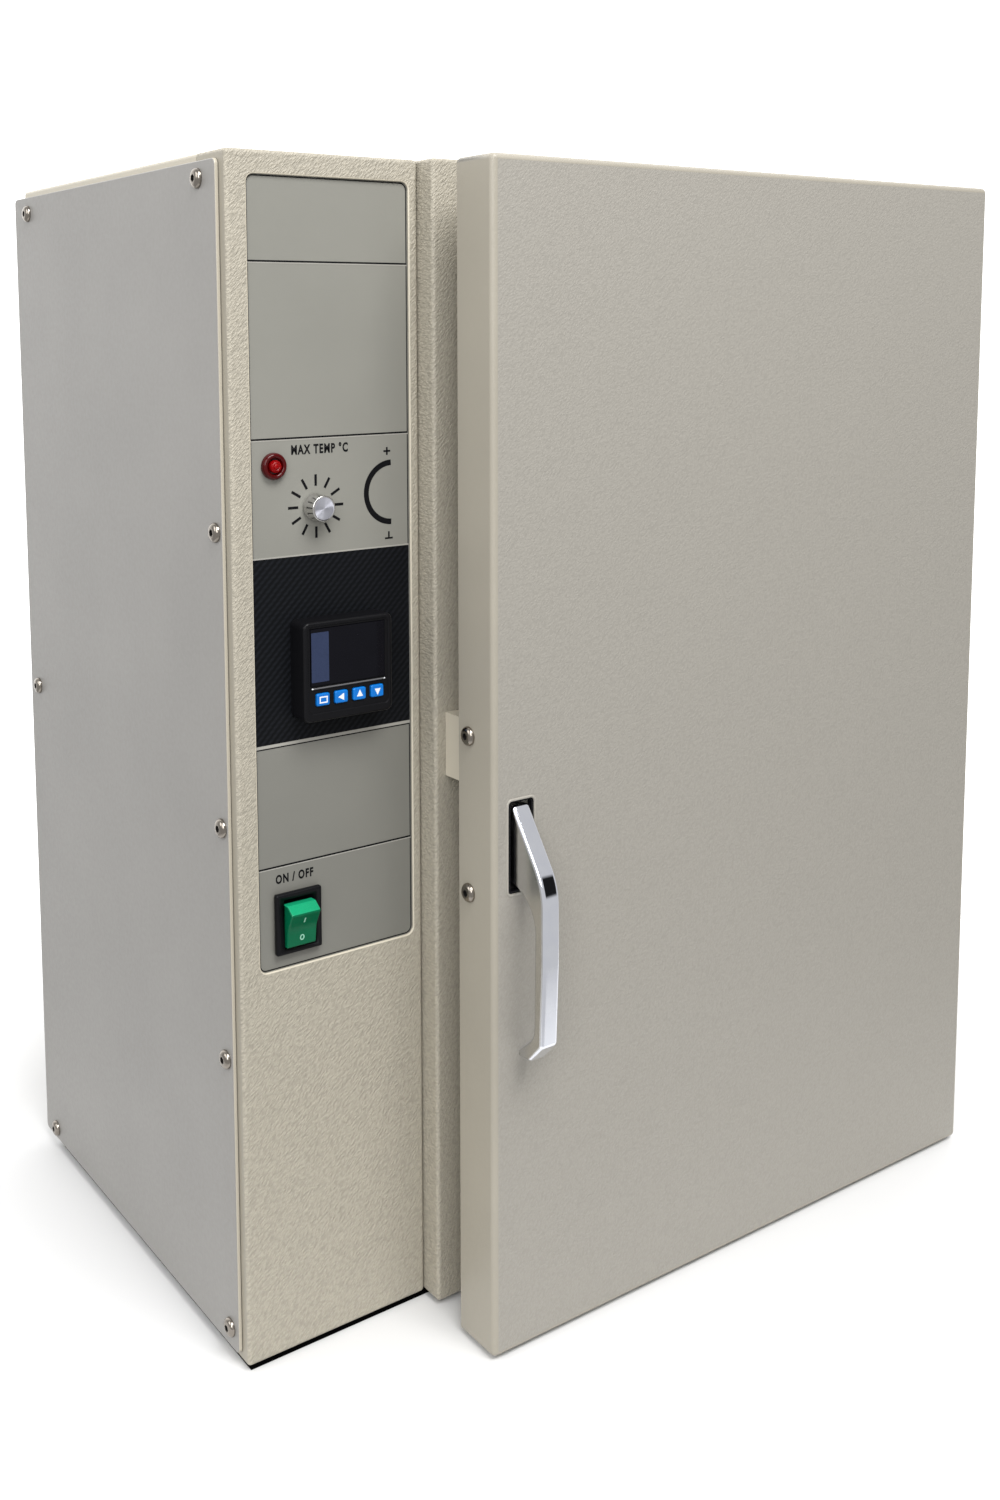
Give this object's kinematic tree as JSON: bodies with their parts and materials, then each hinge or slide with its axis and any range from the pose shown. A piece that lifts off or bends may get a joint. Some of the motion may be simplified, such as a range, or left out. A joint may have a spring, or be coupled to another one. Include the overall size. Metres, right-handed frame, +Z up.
{
  "type": "laboratory incubator",
  "caption": "Bench-top laboratory incubator: control column beside an insulated chamber with shelves, closed by a side-hung door with a pull-lever latch.",
  "frame": {"origin": "on the bench, under the middle of the bounding box, with the door shut and the lever at rest", "axes": "+X to the right as seen from the front, +Y to the rear, +Z up"},
  "size_m": [0.4772, 0.3546, 0.593],
  "materials": {
    "cream_paint": "textured powder coat",
    "door_paint": "fine textured powder coat",
    "side_paint": "smooth satin paint",
    "plate_grey": "satin",
    "stainless": "brushed",
    "galvanised": "zinc plated",
    "chrome": "polished",
    "aluminium": "turned",
    "black_plastic": "moulded",
    "dark_glass": "polished dark window",
    "blue_key": "moulded",
    "green_rocker": "translucent gloss",
    "red_lens": "translucent gloss",
    "rubber": "matt",
    "silicone": "matt silicone",
    "mineral_wool": "fibrous",
    "white_plastic": "moulded"
  },
  "bodies": {
    "cabinet": {"top_cover": "cream_paint", "rear_panel": "cream_paint", "column_front": "cream_paint", "front_frame": "cream_paint", "striker": "cream_paint", "left_side_panel": "side_paint", "right_side_panel": "side_paint", "control_plate": "plate_grey", "chamber_liner": "stainless", "air_baffle": "stainless", "heater_element": "stainless", "temperature_probe": "stainless", "shelf_lower": "stainless", "shelf_upper": "stainless", "runner_lower_left": "stainless", "runner_lower_right": "stainless", "runner_upper_left": "stainless", "runner_upper_right": "stainless", "hinge_lower_cabinet_leaf": "stainless", "hinge_lower_pin": "stainless", "hinge_upper_cabinet_leaf": "stainless", "hinge_upper_pin": "stainless", "base_pan": "galvanised", "partition_wall": "galvanised", "fan_motor": "galvanised", "relay_heatsink": "aluminium", "controller_case": "black_plastic", "rocker_housing": "black_plastic", "solid_state_relay": "black_plastic", "power_inlet": "black_plastic", "controller_window": "dark_glass", "lamp_lens": "red_lens", "foot_front_left": "rubber", "foot_front_right": "rubber", "foot_rear_left": "rubber", "foot_rear_right": "rubber", "chamber_insulation": "mineral_wool", "lamp_holder": "white_plastic", "thermostat_body": "white_plastic", "terminal_block": "white_plastic"},
    "door": {"door_pan": "door_paint", "door_inner_panel": "stainless", "door_insulation": "mineral_wool", "door_gasket": "silicone", "latch_case": "galvanised", "slot_liner": "black_plastic", "lever_pin": "galvanised", "hinge_lower_door_leaf": "stainless", "hinge_upper_door_leaf": "stainless"},
    "handle": {"handle_lever": "chrome", "roller_pin": "galvanised"},
    "roller": {"latch_roller": "white_plastic"},
    "fan": {"fan_shaft": "galvanised", "fan_wheel": "aluminium"},
    "key_1": {"controller_key_1": "blue_key"},
    "key_2": {"controller_key_2": "blue_key"},
    "key_3": {"controller_key_3": "blue_key"},
    "key_4": {"controller_key_4": "blue_key"},
    "rocker": {"rocker_cap": "green_rocker"},
    "knob": {"thermostat_knob": "aluminium"}
  },
  "joints": [
    {"name": "door_hinge", "type": "hinge", "parent": "cabinet", "child": "door", "pos_m": [0.2341, -0.1159, 0.298], "axis": [0, 0, 1], "range_deg": [0, 150]},
    {"name": "handle_pull", "type": "hinge", "parent": "door", "child": "handle", "pos_m": [-0.1159, -0.1467, 0.271], "axis": [-1, 0, 0], "range_deg": [0, 20], "stiffness_Nm_per_rad": 0.8},
    {"name": "roller_spin", "type": "hinge", "parent": "handle", "child": "roller", "pos_m": [-0.1159, -0.1367, 0.2798], "axis": [1, 0, 0], "continuous": true},
    {"name": "fan_spin", "type": "hinge", "parent": "cabinet", "child": "fan", "pos_m": [-0.0733, 0.0173, 0.298], "axis": [1, 0, 0], "continuous": true},
    {"name": "rocker_toggle", "type": "hinge", "parent": "cabinet", "child": "rocker", "pos_m": [-0.2047, -0.0882, 0.2248], "axis": [-1, 0, 0], "range_deg": [0, 34]},
    {"name": "knob_turn", "type": "hinge", "parent": "cabinet", "child": "knob", "pos_m": [-0.191, -0.0982, 0.4265], "axis": [0, 1, 0], "range_deg": [-135, 135]},
    {"name": "key_1_press", "type": "slide", "parent": "cabinet", "child": "key_1", "axis": [0, 1, 0], "range_m": [0, 0.0006], "stiffness_N_per_m": 400},
    {"name": "key_2_press", "type": "slide", "parent": "cabinet", "child": "key_2", "axis": [0, 1, 0], "range_m": [0, 0.0006], "stiffness_N_per_m": 400},
    {"name": "key_3_press", "type": "slide", "parent": "cabinet", "child": "key_3", "axis": [0, 1, 0], "range_m": [0, 0.0006], "stiffness_N_per_m": 400},
    {"name": "key_4_press", "type": "slide", "parent": "cabinet", "child": "key_4", "axis": [0, 1, 0], "range_m": [0, 0.0006], "stiffness_N_per_m": 400}
  ]
}
